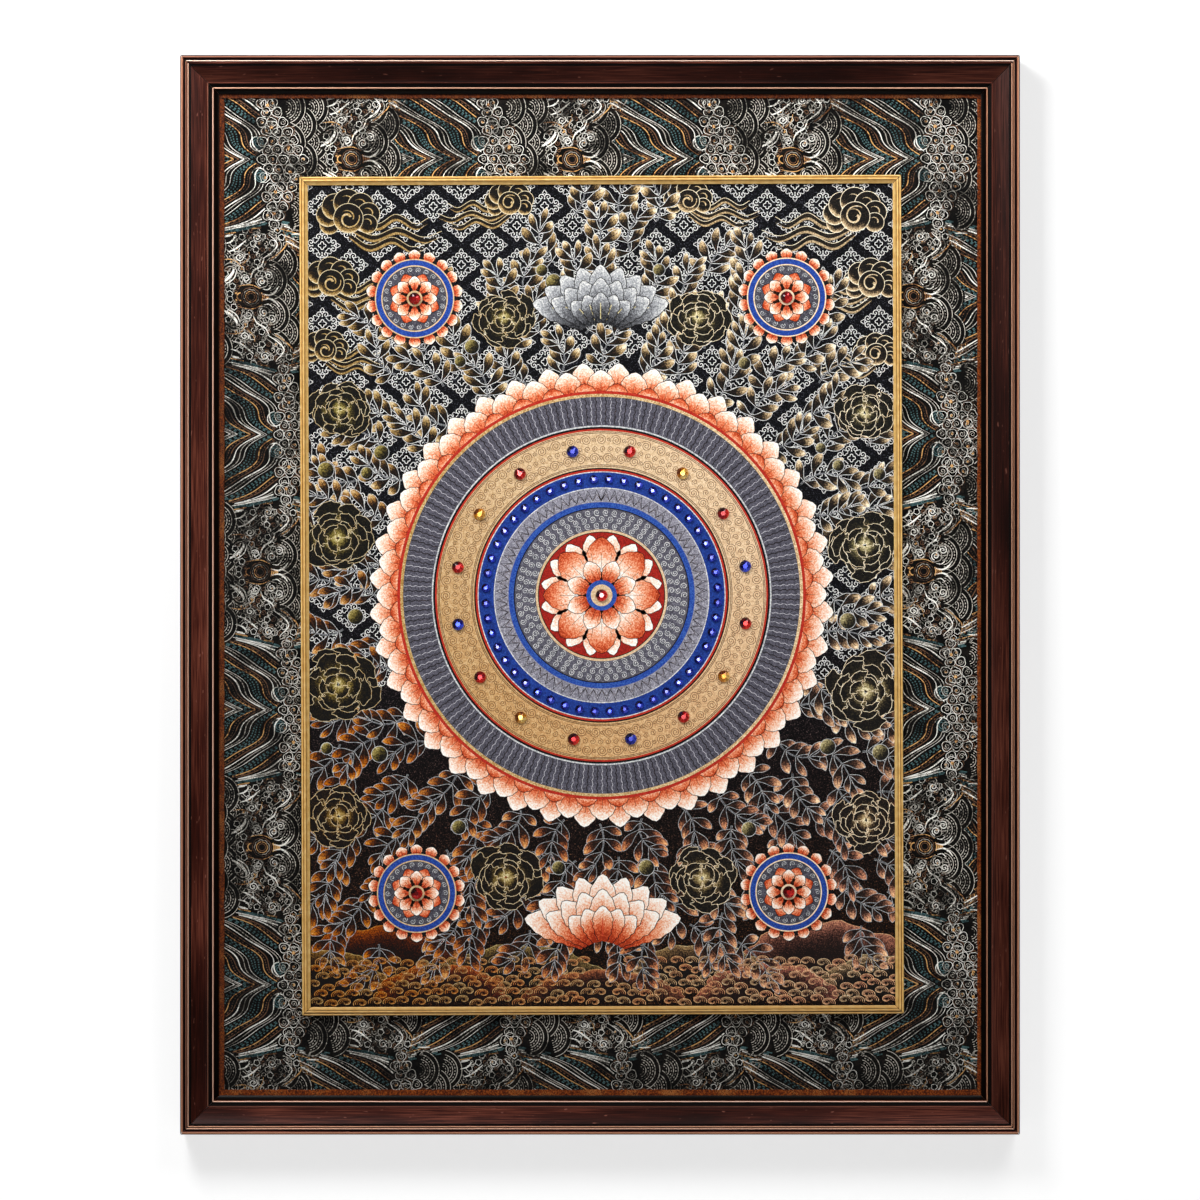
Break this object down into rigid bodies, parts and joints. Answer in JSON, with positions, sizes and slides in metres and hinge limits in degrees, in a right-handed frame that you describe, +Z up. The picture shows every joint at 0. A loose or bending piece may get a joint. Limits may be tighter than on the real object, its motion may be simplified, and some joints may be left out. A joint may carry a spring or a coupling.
{
  "type": "framed thangka cloth painting, with its picture frame",
  "caption": "Upright rectangular wall picture: thangka cloth set with stones, on a brocade ground with a gilt fillet, in a mitred mahogany-coloured moulding.",
  "frame": {"origin": "middle of the top edge of the frame's back, where the wall carries it", "axes": "+Z up along the frame's height, +X to the right for someone who faces the picture, +Y into the wall, so the picture faces -Y"},
  "size_m": [0.5712, 0.0251, 0.7344],
  "materials": {
    "mahogany_lacquer": "satin dark mahogany lacquer",
    "hardboard": "matt pressed board",
    "brocade": "woven black brocade with white, teal and gold threads",
    "rust_brocade": "woven rust brocade with gold flecks",
    "picture_cloth": "primed cloth with matt mineral colours",
    "gilt": "gold leaf",
    "ruby_stone": "foil-backed faceted stone",
    "amber_stone": "foil-backed faceted stone",
    "sapphire_stone": "foil-backed faceted stone"
  },
  "bodies": {
    "root": {"rail_top": "mahogany_lacquer", "rail_right": "mahogany_lacquer", "rail_bottom": "mahogany_lacquer", "rail_left": "mahogany_lacquer", "backing_board": "hardboard", "brocade_ground": "brocade", "edge_band_top": "rust_brocade", "edge_band_right": "rust_brocade", "edge_band_bottom": "rust_brocade", "edge_band_left": "rust_brocade", "picture_cloth": "picture_cloth", "fillet_top": "gilt", "fillet_right": "gilt", "fillet_bottom": "gilt", "fillet_left": "gilt", "stone_ring_01": "ruby_stone", "stone_ring_02": "amber_stone", "stone_ring_03": "ruby_stone", "stone_ring_04": "sapphire_stone", "stone_ring_05": "ruby_stone", "stone_ring_06": "amber_stone", "stone_ring_07": "ruby_stone", "stone_ring_08": "sapphire_stone", "stone_ring_09": "ruby_stone", "stone_ring_10": "amber_stone", "stone_ring_11": "ruby_stone", "stone_ring_12": "sapphire_stone", "stone_ring_13": "ruby_stone", "stone_ring_14": "amber_stone", "stone_ring_15": "ruby_stone", "stone_ring_16": "sapphire_stone", "stone_centre": "ruby_stone", "stone_roundel_1": "ruby_stone", "stone_roundel_2": "ruby_stone", "stone_roundel_3": "ruby_stone", "stone_roundel_4": "ruby_stone"}
  },
  "joints": []
}
